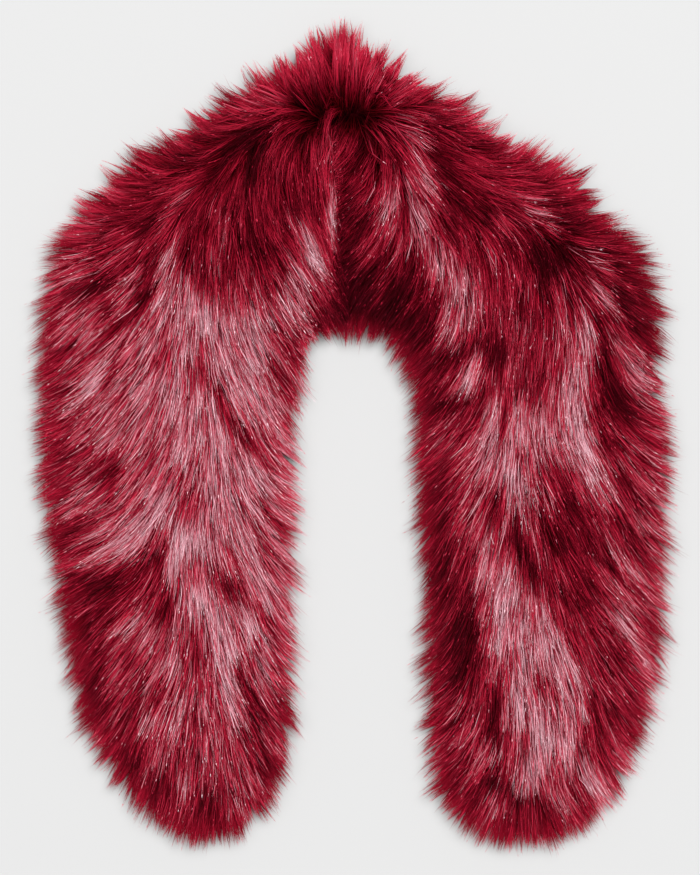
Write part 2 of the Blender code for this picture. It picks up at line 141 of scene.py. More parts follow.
# Painted in order over the plain tone: long and wide are a place's half sizes, turned so
# that long lies along heading.
Place = namedtuple("Place", "x y long wide heading tone")
TONES = (
    # washes of the left hanging end, frost and painted sheen from where it starts down to the tip
    (-77, 53, 50, 28, 0, FROST), (-141, 23, 66, 34, 95, PINK), (-83, 5, 69, 50, 90, FROST),
    (-83, -73, 66, 49, 92, FROST), (-43, -45, 125, 16, 92, FROST), (-95, -157, 45, 49, 90, ROSE),
    (-68, -175, 42, 27, 90, ROSE), (-173, 101, 40, 16, 100, ROSE), (-175, 65, 24, 14, 100, ROSE),
    # washes of the right hanging end: frost and painted sheen, and painted shade
    (108, -14, 30, 40, 0, FROST), (97, 44, 22, 12, 90, DEEP), (109, -151, 70, 34, 88, FROST),
    (170, -73, 120, 18, 92, ROSE), (127, 56, 34, 16, 95, ROSE), (65, 83, 38, 16, 105, ROSE),
    (88, 62, 24, 34, 0, CRIMSON),
    # back of the neck: fan, painted shade in the clefts at its foot, seam
    (-5, 222, 45, 25, 0, CRIMSON), (31, 214, 12, 9, 330, ROSE), (-50, 219, 14, 8, 30, ROSE),
    (-22, 206, 12, 10, 60, DEEP), (-25, 196, 16, 6, 20, INK), (-8, 203, 10, 8, 0, DARK),
    (1, 190, 12, 5, 0, INK), (14, 191, 12, 4, 0, DEEP), (10, 175, 7, 5, 90, DEEP),
    (-13, 176, 15, 3, 85, ROSE), (-13, 134, 22, 4, 92, FROST), (-33, 181, 10, 8, 90, DEEP),
    (-54, 194, 16, 4, 148, CRIMSON), (-66, 178, 18, 5, 145, INK), (-77, 169, 9, 7, 120, INK),
    (-62, 163, 10, 6, 95, DEEP), (-90, 166, 14, 5, 170, DARK), (-20, 165, 16, 6, 88, CRIMSON),
    (-45, 215, 30, 8, 325, CRIMSON), (31, 193, 12, 8, 70, ROSE), (39, 179, 16, 6, 62, PINK),
    (42, 158, 20, 5, 70, FROST), (21, 164, 22, 9, 92, CRIMSON), (18, 136, 20, 10, 116, FROST),
    (38, 134, 22, 6, 84, FROST), (34, 151, 14, 4, 80, PINK), (30, 137, 9, 3, 100, DARK),
    (51, 170, 16, 4, 70, INK), (56, 186, 14, 6, 30, DARK), (-40, 84, 22, 9, 60, FROST),
    (84, 184, 28, 7, 30, ROSE), (78, 162, 24, 6, 30, DARK), (124, 160, 20, 8, 35, CRIMSON),
    # under the seam, with painted shade in the crook of the neck
    (18, 84, 34, 26, 15, INK), (-3, 104, 38, 7, 88, INK), (6, 128, 14, 6, 125, DEEP),
    (12, 116, 15, 5, 118, CRIMSON), (30, 112, 14, 5, 108, ROSE), (20, 98, 14, 5, 112, CRIMSON),
    (52, 106, 16, 8, 70, FROST), (64, 82, 12, 9, 85, SILVER), (60, 73, 12, 7, 110, PINK),
    (83, 76, 12, 5, 95, CRIMSON), (44, 84, 14, 8, 100, DARK), (38, 58, 22, 9, 110, DEEP),
    # left shoulder
    (-58, 118, 32, 20, 78, DARK), (-55, 94, 14, 6, 65, CRIMSON), (-26, 112, 18, 6, 70, SILVER),
    (-31, 92, 18, 6, 64, FROST), (-38, 132, 14, 8, 80, DARK), (-109, 134, 20, 4, 122, PINK),
    (-78, 110, 24, 9, 90, ROSE), (-111, 106, 15, 5, 102, PINK), (-114, 86, 22, 10, 96, FROST),
    (-98, 86, 9, 5, 92, SILVER), (-86, 71, 14, 8, 90, SILVER), (-52, 66, 18, 9, 75, FROST),
    (-97, 101, 11, 4, 95, CRIMSON), (-74, 96, 14, 13, 90, CRIMSON), (-121, 108, 16, 5, 112, DARK),
    (-125, 84, 16, 6, 120, DEEP), (-155, 91, 18, 6, 160, DEEP), (-140, 111, 16, 4, 150, ROSE),
    (-137, 93, 12, 5, 130, PINK), (-149, 77, 14, 6, 135, DARK), (-128, 62, 16, 5, 108, ROSE),
    (-165, 70, 14, 5, 155, PINK), (-182, 100, 26, 5, 105, CRIMSON), (-158, 132, 12, 7, 180, ROSE),
    (-162, 132, 16, 10, 195, ROSE), (-121, 129, 10, 5, 120, DEEP), (-38, 58, 16, 7, 65, CRIMSON),
    (-22, 70, 10, 5, 60, DARK),
    # left hanging end, outer half
    (-179, 20, 60, 12, 92, CRIMSON), (-151, 57, 14, 5, 140, CRIMSON), (-143, 21, 10, 4, 120, CRIMSON),
    (-171, -10, 16, 8, 140, CRIMSON), (-159, 30, 26, 7, 125, FROST), (-142, 42, 16, 4, 112, DARK),
    (-148, 10, 18, 6, 138, ROSE), (-145, -15, 22, 9, 150, CRIMSON), (-140, -18, 15, 8, 125, DARK),
    (-149, -24, 9, 5, 150, CRIMSON), (-130, 14, 16, 5, 112, PINK), (-115, 10, 12, 5, 100, FROST),
    (-172, 6, 18, 6, 138, CRIMSON), (-120, -8, 14, 4, 98, CRIMSON), (-133, -12, 15, 6, 125, FROST),
    (-143, -18, 12, 6, 125, DARK), (-116, -42, 18, 9, 115, SILVER), (-165, -40, 16, 6, 155, PINK),
    (-166, -57, 17, 7, 150, DARK), (-141, -60, 30, 11, 150, FROST), (-156, -64, 10, 6, 150, CRIMSON),
    (-118, -73, 19, 8, 108, DARK), (-130, -89, 20, 5, 150, CRIMSON), (-156, -93, 30, 9, 157, DEEP),
    (-112, -92, 15, 6, 98, DEEP), (-106, -66, 20, 5, 97, SILVER), (-138, -113, 17, 6, 156, PINK),
    (-122, -121, 15, 7, 130, FROST), (-165, -112, 30, 10, 108, DARK), (-154, -142, 28, 10, 105, DARK),
    (-135, -150, 30, 12, 110, CRIMSON), (-111, -138, 14, 5, 104, FROST), (-122, -168, 17, 5, 117, PINK),
    (-105, -168, 14, 5, 98, PINK), (-117, -155, 13, 6, 110, CRIMSON), (-119, -193, 14, 6, 105, PINK),
    (-132, -190, 14, 8, 130, DARK), (-118, -213, 16, 9, 115, DARK),
    # left hanging end, inner half
    (-90, 32, 15, 6, 56, DARK), (-82, 20, 16, 4, 50, CRIMSON), (-66, 3, 12, 7, 52, DARK),
    (-55, -9, 10, 6, 55, CRIMSON), (-93, 23, 11, 5, 95, SILVER), (-84, 12, 10, 5, 80, SILVER),
    (-103, -8, 14, 5, 95, FROST), (-89, 58, 9, 5, 92, ROSE), (-112, 53, 14, 6, 98, CRIMSON),
    (-92, -10, 10, 6, 90, ROSE), (-106, -30, 7, 4, 98, ROSE), (-98, -39, 11, 8, 90, CRIMSON),
    (-97, -60, 11, 8, 92, SILVER), (-93, -82, 14, 9, 85, CRIMSON), (-74, -72, 14, 6, 65, ROSE),
    (-36, 0, 40, 5, 90, ROSE), (-60, 30, 26, 10, 72, FROST), (-43, 36, 24, 6, 76, CRIMSON),
    (-62, -26, 16, 8, 68, FROST), (-53, 4, 16, 6, 68, ROSE), (-53, -66, 14, 5, 62, ROSE),
    (-50, -47, 20, 4, 58, ROSE), (-73, -90, 15, 6, 52, DEEP), (-54, -108, 18, 4, 54, CRIMSON),
    (-92, -97, 11, 7, 95, SILVER), (-80, -114, 16, 7, 68, SILVER), (-77, -131, 17, 7, 82, SILVER),
    (-74, -152, 14, 7, 84, SILVER), (-60, -118, 20, 6, 62, FROST), (-95, -125, 14, 6, 86, CRIMSON),
    (-101, -146, 12, 5, 90, ROSE), (-115, -102, 14, 6, 96, DARK), (-50, -134, 22, 8, 62, FROST),
    (-63, -150, 20, 3, 60, DEEP), (-57, -168, 16, 5, 60, DARK), (-43, -158, 24, 6, 78, CRIMSON),
    (-60, -190, 18, 6, 65, CRIMSON), (-50, -199, 12, 7, 70, DARK), (-84, -213, 17, 6, 0, DARK),
    (-102, -207, 11, 5, 95, PINK), (-71, -222, 9, 5, 45, PINK), (-88, -232, 22, 5, 0, DARK),
    (-104, -225, 12, 5, 20, ROSE), (-66, -203, 12, 7, 60, PINK), (-86, -196, 12, 6, 90, PINK),
    # right shoulder
    (70, 138, 34, 8, 52, DARK), (88, 122, 22, 6, 48, DARK), (104, 150, 24, 9, 20, CRIMSON),
    (113, 132, 15, 5, 40, FROST), (97, 122, 16, 5, 45, CRIMSON), (127, 128, 15, 8, 80, DEEP),
    (149, 102, 18, 5, 56, FROST), (130, 82, 12, 6, 85, DARK), (158, 86, 18, 4, 62, INK),
    (148, 86, 15, 5, 62, PINK), (172, 92, 28, 8, 85, DARK), (104, 80, 30, 14, 90, CRIMSON),
    (120, 84, 26, 8, 90, CRIMSON), (112, 106, 12, 8, 60, INK), (127, 110, 10, 8, 90, INK),
    (139, 58, 20, 6, 90, SILVER), (165, 64, 12, 7, 60, DARK), (152, 52, 24, 4, 74, DEEP),
    (161, 57, 12, 4, 62, CRIMSON), (167, 43, 24, 8, 52, FROST), (127, 42, 12, 6, 90, CRIMSON),
    (86, 53, 14, 7, 92, DEEP), (68, 51, 20, 7, 165, DEEP), (69, 33, 18, 7, 102, FROST),
    # right hanging end, outer half
    (158, 24, 26, 8, 55, DEEP), (147, 5, 14, 7, 60, DARK), (177, 22, 24, 8, 50, ROSE),
    (132, 26, 20, 8, 89, FROST), (138, -4, 32, 8, 72, SILVER), (152, -24, 15, 5, 58, FROST),
    (163, -29, 18, 6, 45, DARK), (180, -22, 16, 5, 60, CRIMSON), (146, -55, 24, 6, 61, PINK),
    (166, -60, 19, 7, 56, DARK), (131, -40, 32, 11, 61, DARK), (111, -47, 12, 4, 58, INK),
    (122, -61, 14, 7, 50, DEEP), (140, -80, 34, 13, 62, DARK), (156, -101, 24, 8, 61, FROST),
    (147, -90, 14, 6, 60, DARK), (172, -112, 12, 5, 60, CRIMSON), (154, -76, 9, 3, 55, DEEP),
    (184, -60, 60, 6, 88, PINK), (126, -107, 22, 9, 70, DARK), (163, -139, 16, 6, 66, DARK),
    (124, -130, 26, 7, 64, SILVER), (134, -152, 18, 6, 64, FROST), (138, -124, 20, 7, 64, CRIMSON),
    (154, -142, 18, 8, 66, DARK), (148, -166, 28, 9, 74, DARK), (162, -156, 28, 7, 76, CRIMSON),
    (176, -140, 26, 5, 80, PINK), (141, -192, 14, 9, 70, DARK), (160, -192, 14, 7, 70, PINK),
    (127, -176, 16, 6, 84, FROST), (146, -209, 20, 9, 62, FROST), (127, -225, 14, 6, 70, ROSE),
    # right hanging end, inner half
    (45, 0, 46, 9, 92, DARK), (60, 23, 16, 6, 172, DEEP), (83, 8, 20, 5, 96, SILVER),
    (90, 12, 12, 3, 94, DEEP), (98, 2, 22, 7, 95, FROST), (69, -10, 18, 7, 115, ROSE),
    (112, -2, 12, 6, 90, PINK), (114, -20, 11, 5, 85, CRIMSON), (101, -13, 13, 6, 95, DARK),
    (97, -36, 14, 5, 98, SILVER), (95, -30, 18, 8, 105, SILVER), (76, -17, 9, 5, 110, FROST),
    (74, -31, 7, 5, 120, DEEP), (84, -42, 13, 7, 110, DEEP), (69, -46, 20, 8, 102, FROST),
    (54, 2, 14, 7, 130, ROSE), (50, -45, 40, 9, 94, DARK), (98, -66, 22, 4, 88, INK),
    (106, -54, 18, 5, 88, ROSE), (62, -75, 30, 10, 96, DARK), (75, -86, 13, 4, 108, DEEP),
    (79, -80, 28, 6, 94, FROST), (91, -98, 28, 8, 94, SILVER), (58, -96, 10, 5, 110, CRIMSON),
    (106, -76, 14, 5, 62, DEEP), (67, -130, 42, 11, 92, DEEP), (48, -120, 40, 7, 92, DARK),
    (58, -161, 14, 8, 150, ROSE), (67, -180, 12, 7, 130, ROSE), (85, -163, 24, 6, 99, DEEP),
    (113, -131, 12, 8, 70, SILVER), (115, -152, 18, 7, 68, INK), (102, -142, 17, 5, 94, FROST),
    (93, -162, 22, 4, 99, PINK), (116, -171, 22, 7, 91, SILVER), (121, -198, 10, 6, 85, CRIMSON),
    (100, -184, 14, 5, 95, DARK), (89, -182, 10, 7, 90, INK), (82, -191, 20, 8, 155, PINK),
    (101, -203, 14, 7, 118, SILVER), (94, -211, 22, 7, 30, INK), (85, -221, 11, 8, 120, PINK),
    (58, -204, 20, 7, 116, DARK), (98, -233, 30, 5, 0, DARK), (52, -165, 60, 5, 92, CRIMSON),
)

# how much further than elsewhere the tips pass the outline, and how much longer the hair is
Tip = namedtuple("Tip", "x y size over longer")
TIPS = (
    # over the back of the neck
    (-9, 247, 16, 0, 0.4), (-24, 244, 9, -6, 0.1), (-32, 234, 12, -4, 0.1), (12, 235, 9, -4, 0.2),
    (33, 219, 14, -26, 0), (64, 200, 9, 3, 0), (86, 188, 10, -16, 0), (97, 181, 12, -9, 0),
    (120, 169, 14, -9, 0), (-78, 211, 9, -4, 0), (-94, 195, 9, -8, 0), (-117, 187, 9, -10, 0),
    (-122, 174, 11, 4, 0), (-152, 157, 9, -3, 0),
    # shoulders
    (-165, 132, 8, 7, 0.1), (-171, 121, 9, 8, 0), (-185, 104, 10, 3, 0), (156, 135, 11, -15, 0),
    (179, 103, 10, 8, 0), (184, 80, 9, 7, 0), (184, 52, 8, 5, 0), (185, 33, 15, -11, 0),
    # opening for the neck
    (-20, 59, 12, -14, 0), (-27, 50, 13, -12, 0), (-2, 61, 13, -5, 0), (21, 53, 11, -9, 0),
    (-32, 17, 18, -4, 0), (-32, -19, 14, -3, 0), (34, 4, 22, -2, 0), (34, -19, 8, -4, 0),
    # hanging ends
    (-193, 20, 28, -3, 0), (-193, -16, 9, -7, 0), (-186, -24, 10, 5, 0), (-190, -36, 10, -2, 0),
    (-188, -50, 11, 1, 0), (-178, -74, 18, -3, 0), (-164, -174, 8, 4, 0), (-89, -247, 24, -2, 0),
    (-31, -61, 14, -4, 0), (-38, -106, 12, 4, 0), (-37, -148, 26, -3, 0), (188, -18, 10, -5, 0),
    (187, -43, 8, 4, 0), (187, -67, 12, 3, 0), (40, -97, 28, -3, 0), (157, -211, 8, 8, 0.1),
)

# ---- lookup fields
PROBE_Z = 200.0
AT_ONCE = 4000
SMOOTH_ROUNDS, SPREAD_ROUNDS, EDGE_ROUNDS = 4, 60, 3
RIM_PILE = 22.0  # most height of the pile just past the outline
RIM_FALL = 0.45  # how steeply it falls away from there
LEAST_PILE = 2.0
LAST_CELL = 1.001  # keeps the four cells around a place on the grid

tops = []
for node in nodes.values():
    corners = [vertex.co for vertex in node.data.vertices]
    tops.append(BVHTree.FromPolygons(corners, [poly.vertices[:] for poly in node.data.polygons]))


def blurred(values, mask, rounds):
    """Smooth a field inside its mask by repeated box means that ignore the outside."""
    weight = mask.astype(float)
    field = values * weight
    for _ in range(rounds):
        for axis in (0, 1):
            field = (np.roll(field, 1, axis) + 2 * field + np.roll(field, -1, axis)) / 4
            weight = (np.roll(weight, 1, axis) + 2 * weight + np.roll(weight, -1, axis)) / 4
    return field / np.maximum(weight, TINY)


def probed_pile():
    """Pile height over the lookup grid, and which of its places lie on the wrap."""
    height = np.zeros(GRID_X.shape)
    inside = np.zeros(height.shape, dtype=bool)
    down = Vector((0.0, 0.0, -1.0))
    for j, y in enumerate(FIELD_Y):
        for i, x in enumerate(FIELD_X):
            for top in tops:
                hit = top.ray_cast(Vector((x * MM, y * MM, PROBE_Z * MM)), down)
                if hit[0] is not None:
                    height[j, i] = hit[0].z / MM
                    inside[j, i] = True
    # the narrow seam gap belongs to the inside
    inside |= np.roll(inside, 1, 1) & np.roll(inside, -1, 1)
    beside = np.maximum(np.roll(height, 1, 1), np.roll(height, -1, 1))
    return np.where(height > 0.0, height, beside) * inside, inside


def distance_in(inside):
    """Distance in from the outline over the lookup grid, below zero outside it."""
    rim = inside & ~(
        np.roll(inside, 1, 0) & np.roll(inside, -1, 0) & np.roll(inside, 1, 1) & np.roll(inside, -1, 1)
    )
    rim_y, rim_x = np.nonzero(rim)
    rim_x, rim_y = FIELD_X[rim_x], FIELD_Y[rim_y]
    x, y = GRID_X.ravel(), GRID_Y.ravel()
    reach = np.empty(len(x))
    for start in range(0, len(x), AT_ONCE):
        part = slice(start, start + AT_ONCE)
        reach[part] = np.hypot(x[part, None] - rim_x, y[part, None] - rim_y).min(axis=1)
    return reach.reshape(inside.shape) * np.where(inside, 1.0, -1.0)


def surface_fields():
    """Pile height, and distance in from the outline, over the lookup grid."""
    height, inside = probed_pile()
    reach = distance_in(inside)
    past = np.minimum(blurred(height, inside, SPREAD_ROUNDS), RIM_PILE) + RIM_FALL * reach
    smooth = np.where(inside, blurred(height, inside, SMOOTH_ROUNDS), past)
    return np.maximum(smooth, LEAST_PILE), blurred(reach, EVERYWHERE, EDGE_ROUNDS)


def sample(field, x, y):
    """Bilinear value of a lookup field at plan points in millimetres."""
    u = np.clip((x - FIELD_X[0]) / CELL, 0, len(FIELD_X) - LAST_CELL)
    v = np.clip((y - FIELD_Y[0]) / CELL, 0, len(FIELD_Y) - LAST_CELL)
    i, j = u.astype(int), v.astype(int)
    fu, fv = u - i, v - j
    low = field[j, i] * (1 - fu) + field[j, i + 1] * fu
    high = field[j + 1, i] * (1 - fu) + field[j + 1, i + 1] * fu
    return low * (1 - fv) + high * fv


def unit(x, y):
    """Plan vectors brought to length 1."""
    size = np.maximum(np.hypot(x, y), TINY)
    return x / size, y / size


def grown(pair, share):
    """A pair's first value, and its second times a share more."""
    return pair[0] + pair[1] * share


def near_edge(x, y, reach):
    """1 at the outline and past it, falling to 0 at reach millimetres inside."""
    return np.clip(1.0 - sample(REACH, x, y) / reach, 0.0, 1.0)


PILE, REACH = surface_fields()
OUT_Y, OUT_X = (-part for part in np.gradient(REACH, CELL))
OUT_X, OUT_Y = unit(OUT_X, OUT_Y)

# 1 on the stretch behind the roll, 0 on the two hanging ends
ROLL_FOOT = 95.0  # height y of the change at the centre
ROLL_SLANT = 0.20  # and how much higher it is for each mm to the side
ROLL_BLEND = 14.0
BEHIND = 1.0 / (1.0 + np.exp(-(GRID_Y - ROLL_FOOT - ROLL_SLANT * np.abs(GRID_X)) / ROLL_BLEND))

# The comb splays off the outline near it, and wanders a little everywhere.
SPLAY = (0.45, 0.35)  # more of it behind the roll
SPLAY_REACH, SPLAY_MOST = 18.0, 1.6
Wander = namedtuple("Wander", "turn over_x over_y phase")
WANDERS = (
    (0.09, 13.0, 29.0, 0.0),
    (0.07, -23.0, 17.0, 2.0),
)
MOST_PARTING = 0.12  # most spread of the comb that counts in a parting


def comb_fields(lines):
    """The way the hair points at each place, from the combed lines and the outline."""
    way_x = np.zeros(GRID_X.shape)
    way_y = np.zeros(GRID_X.shape)
    for line in map(Comb._make, lines):
        steps = math.ceil((line.last_x - line.first_x) / COMB_STEP)
        strokes = np.linspace(line.first_x, line.last_x, 1 + steps)
        known = np.linspace(line.first_x, line.last_x, len(line.headings))
        for x, turn in zip(strokes, np.interp(strokes, known, np.radians(line.headings))):
            gap = (GRID_X - x) ** 2 + (GRID_Y - line.y) ** 2
            weight = np.exp(-gap / (2 * COMB_REACH**2)) + COMB_FAR / (1.0 + gap)
            way_x += weight * math.cos(turn)
            way_y -= weight * math.sin(turn)
    way_x, way_y = unit(way_x, way_y)
    splay = grown(SPLAY, BEHIND) * np.clip(1.0 - REACH / SPLAY_REACH, 0.0, SPLAY_MOST)
    way_x, way_y = way_x + splay * OUT_X, way_y + splay * OUT_Y
    turn = 0.0
    for wave in map(Wander._make, WANDERS):
        turn = turn + wave.turn * np.sin(GRID_X / wave.over_x + GRID_Y / wave.over_y + wave.phase)
    return unit(way_x - turn * way_y, way_y + turn * way_x)


COMBED = (comb_fields(LEFT_COMB), comb_fields(RIGHT_COMB))
EAST, NORTH = (np.where(GRID_X < SEAM_X, left, right) for left, right in zip(*COMBED))
PARTING = np.gradient(EAST, CELL, axis=1) + np.gradient(NORTH, CELL, axis=0)
PARTING = blurred(np.clip(PARTING, 0.0, MOST_PARTING), EVERYWHERE, EDGE_ROUNDS)


def way_at(x, y, right):
    """Unit comb direction at plan points, by the side whose hair it is."""
    (left_x, left_y), (right_x, right_y) = COMBED
    way_x = np.where(right, sample(right_x, x, y), sample(left_x, x, y))
    way_y = np.where(right, sample(right_y, x, y), sample(left_y, x, y))
    return unit(way_x, way_y)


def frost_sheen_and_shade():
    """Tone at each place of the grid, frost with painted sheen and painted shade, after each row is painted
    over the ones before it.
    """
    value = np.full(GRID_X.shape, PLAIN_TONE)
    for place in map(Place._make, TONES):
        turn = math.radians(place.heading)
        c, s = math.cos(turn), -math.sin(turn)
        x, y = GRID_X - place.x, GRID_Y - place.y
        along, aside = (x * c + y * s) / place.long, (-x * s + y * c) / place.wide
        value += (place.tone - value) * np.exp(-((along**2 + aside**2) ** TONE_EDGE))
    return value


FROST_SHEEN_AND_SHADE = frost_sheen_and_shade()


def tip_rule(x, y):
    """Extra overshoot at the outline and extra length of the hair at plan points."""
    over, longer = np.zeros(x.shape), np.ones(x.shape)
    for tip in map(Tip._make, TIPS):
        near = np.exp(-((x - tip.x) ** 2 + (y - tip.y) ** 2) / tip.size**2)
        over += tip.over * near
        longer += tip.longer * near
    return over, longer


# ---- hair paths
SHARES = np.linspace(0.0, 1.0, 9)
STEPS = len(SHARES) - 1

PART_FOOT_X, PART_FOOT_Y = -5.2, 56.0  # where the parting meets the neck edge
PART_LEAN = 0.053  # how far it leans left for each mm up from there
PART_END = 10.0  # it ends over this stretch above NECK_Y
PART_CLEAR = 70.0  # more than any hair's length
CROSSING_LEFT, CROSSING_RIGHT = 3.0, 1.0  # how far a panel's hair may cross the parting
LEAST_SHARE = 0.3  # hair keeps at least this share of its length,
LEAST_STEPS = 1.5  # or at the parting this many steps
LEAST_RUN = 0.001

ROW_STEP, JITTER = 0.866, 0.42  # rows of a jittered grid, as shares of its spacing

CLOTH_SHARE = 0.46  # the cloth's height as a share of the pile's
MOST_PILE = 52.0
ROOT_DEPTH = 1.0

SHAG = (0.24, 0.50)  # how far the pile gathers in pointed locks: more behind the roll
SHAG_RIM = (0.35, 0.45)  # and at the rim
SHAG_REACH = 30.0


def comb_path(x, y, length, swerve, right):
    """Plan path of hairs that follow the comb from (x, y), at each of SHARES."""
    out = [np.stack((x, y), axis=1)]
    c, s = np.cos(swerve), np.sin(swerve)
    step = length / STEPS
    for _ in range(STEPS):
        px, py = out[-1].T
        wx, wy = way_at(px, py, right)
        out.append(out[-1] + np.stack((wx * c - wy * s, wx * s + wy * c), axis=1) * step[:, None])
    return np.stack(out, axis=1)


def past_seam(x, y, right):
    """Distance that plan points keep from the parting line on their own side."""
    line = PART_FOOT_X - PART_LEAN * (y - PART_FOOT_Y)
    above = np.clip((y - NECK_Y) / PART_END, 0.0, 1.0)
    return np.where(right, x - line, line - x) + PART_CLEAR * above


def held_in(x, y, length, swerve, over, right):
    """Comb paths shortened so that no tip passes the outline by more than over, or the seam."""
    path = comb_path(x, y, length, swerve, right)
    root, tip = sample(REACH, x, y), sample(REACH, *path[:, -1].T)
    cut = np.clip((root + over) / np.maximum(root - tip, LEAST_RUN), LEAST_SHARE, 1.0)
    share = np.where(tip < -over, cut, 1.0)
    crossing = np.where(right, -CROSSING_RIGHT, -CROSSING_LEFT)[:, None]
    past = past_seam(path[:, :, 0], path[:, :, 1], right[:, None]) < crossing
    kept = (past.argmax(axis=1) - 0.5).clip(LEAST_STEPS) / STEPS
    share = np.minimum(share, np.where(past.any(axis=1), kept, 1.0))
    return comb_path(x, y, length * share, swerve, right)


def reaching(x, y, length, swerve, over, right):
    """Hair length and overshoot, changed by the tip rule where the hair's tip comes out."""
    ends = held_in(x, y, length, swerve, over, right)[:, -1]
    more, longer = tip_rule(*ends.T)
    return length * longer, over + more


def scattered(spacing, edge):
    """Jittered triangular grid of plan points that lie at least edge inside the outline."""
    rows = np.arange(FIELD_Y[0], FIELD_Y[-1], spacing * ROW_STEP)
    cols = np.arange(FIELD_X[0], FIELD_X[-1], spacing)
    x, y = np.meshgrid(cols, rows)
    x = x + (np.arange(len(rows)) % 2)[:, None] * spacing / 2
    x = x.ravel() + rng.uniform(-JITTER, JITTER, x.size) * spacing
    y = y.ravel() + rng.uniform(-JITTER, JITTER, y.size) * spacing
    keep = sample(REACH, x, y) > edge
    return x[keep], y[keep]


def root_height(x, y):
    """Height at which hairs start, just under the fur cloth's face."""
    return CLOTH_SHARE * np.minimum(sample(PILE, x, y), MOST_PILE) - ROOT_DEPTH


def shagginess(x, y):
    """How strongly the pile gathers in pointed locks: more behind the roll and at the rim."""
    rim = near_edge(x, y, SHAG_REACH)
    behind = sample(BEHIND, x, y)
    return np.clip(grown(SHAG, behind) + grown(SHAG_RIM, behind) * rim, 0.0, 1.0)


# ---- locks and tufts
# A pair holds the bounds or the mean and spread of a random draw, or what grown reads: a
# value, and how much more it is where the pile is shaggy or, across a lock, at its sides.
ROOT_EDGE = 13.0  # roots stay this far inside the outline
PARTING_START = 0.010  # more hair fills partings where the comb spreads more than this
LOCK_SPACINGS, LOCK_FILL = (9.0, 4.5), 14.0  # everywhere, and for those that fill a parting
LOCK_SWERVE, LOCK_SWERVE_SHAG = 0.03, 0.11  # turn off the comb, in radians
LOCK_LENGTH = (35.0, 45.0)
LOCK_OVER = (3.0, 10.0)  # how far tips pass the outline
LOCK_OVER_BEHIND = 7.0  # and a few further behind the roll
LOCK_SINK = 1.4  # how far tips lie under the pile's face
LOCK_SINK_RANGE = (-3.2, 4.6)
LOCK_UNEVEN = (0.25, 0.75)  # share of that range that is used
LOCK_PULL = (0.45, 0.95)  # how far a lock draws its tufts in at the tip
LOCK_TONE = (0.06, 0.04)

TUFT_SPACINGS, TUFT_FILL = (2.7, 2.0), 11.0
TUFTS_AT_ONCE = 2000
OTHER_PANEL = 1000.0  # keeps tufts off the other panel's locks
TUFT_OFF = 1.2  # how far off its lock's middle a tuft between two locks counts
TUFT_SWERVE = (0.05, 0.06)
TUFT_LENGTH = (0.8, 1.15)  # as a share of the lock's
TUFT_FILL_LENGTH = (0.25, 1.0)
TUFT_OVER = (-2.5, 2.5)
TUFT_OVER_ACROSS = (4.0, -9.0)  # a lock's middle comes out further than its sides
TUFT_PULL_POWER = 1.6
TUFT_SINK = (-0.6, 2.0)
TUFT_SINK_ACROSS = (-0.7, 1.8)  # its middle stands up, and its sides lie lower
TUFT_UNEVEN = (0.4, 0.6)
TUFT_TONE = 0.05  # spread of its own tone
TUFT_SHADE_ACROSS = (0.05, -0.11)  # painted shade: its middle is paler and its sides darker
TUFT_GRIP = (0.45, 0.85)  # how far a tuft's hairs close up towards its tip
TUFT_GRIP_SHAG, MOST_GRIP = 0.3, 0.95
LEAST_TIP = 2.5  # lowest tip of a tuft
RISE_POWER = 1.9
MOST_RISE = 1.5  # above the pile's face

FRINGE_SPACING = 3.6
FRINGE_ROOTS = (11.0, 19.0)
FRINGE_SWERVE = 0.20
FRINGE_LENGTH = (22.0, 34.0)
FRINGE_OVER = (-5.0, 1.0)
FRINGE_ROOT = (0.08, 1.0)  # root height as a share of the cloth's face
FRINGE_DROP = (0.25, 1.0)  # tip height as a share of the root's
FRINGE_LOW = 0.8
FRINGE_POWER = 1.4
# painted shade: the low fringe under the turned edge is darker
FRINGE_SHADE_TONE = (-0.12, 0.06)
FRINGE_GRIP = 0.6

Locks = namedtuple("Locks", "x y right swerve length over path sink pull tone")


def filled(spacings, fill):
    """Scattered roots, with more after them where the comb parts; and the first ones' number."""
    x, y = scattered(spacings[0], ROOT_EDGE)
    more_x, more_y = scattered(spacings[1], ROOT_EDGE)
    chance = fill * (sample(PARTING, more_x, more_y) - PARTING_START)
    keep = rng.random(len(more_x)) < chance
    return np.append(x, more_x[keep]), np.append(y, more_y[keep]), len(x)


def combed_locks():
    """The locks that the pile gathers in, with a value of each kind for each lock."""
    x, y, _ = filled(LOCK_SPACINGS, LOCK_FILL)
    count = len(x)
    right = x > SEAM_X
    shag = shagginess(x, y)
    swerve = rng.normal(0.0, LOCK_SWERVE, count) + rng.normal(0.0, LOCK_SWERVE_SHAG, count) * shag
    length = rng.uniform(*LOCK_LENGTH, count)
    over = rng.uniform(*LOCK_OVER, count)
    over += LOCK_OVER_BEHIND * rng.random(count) ** 3 * sample(BEHIND, x, y)
    length, over = reaching(x, y, length, swerve, over, right)
    path = held_in(x, y, length, swerve, over, right)
    sink = LOCK_SINK + rng.uniform(*LOCK_SINK_RANGE, count) * grown(LOCK_UNEVEN, shag)
    pull = rng.uniform(*LOCK_PULL, count) * shag
    tone = rng.normal(0.0, 1.0, count) * grown(LOCK_TONE, shag)
    return Locks(x, y, right, swerve, length, over, path, sink, pull, tone)


def own_locks(x, y, right, locks):
    """The lock nearest to each tuft on its own panel, and how far from its middle the tuft is."""
    own = np.empty(len(x), dtype=int)
    off = np.empty(len(x))
    for start in range(0, len(x), TUFTS_AT_ONCE):
        part = slice(start, start + TUFTS_AT_ONCE)
        gaps = np.hypot(x[part, None] - locks.x, y[part, None] - locks.y)
        gaps += OTHER_PANEL * (right[part, None] != locks.right)
        own[part] = gaps.argmin(axis=1)
        nearest = np.partition(gaps, 1, axis=1)
        off[part] = TUFT_OFF * (nearest[:, 0] / nearest[:, 1]) ** 2
    return own, off


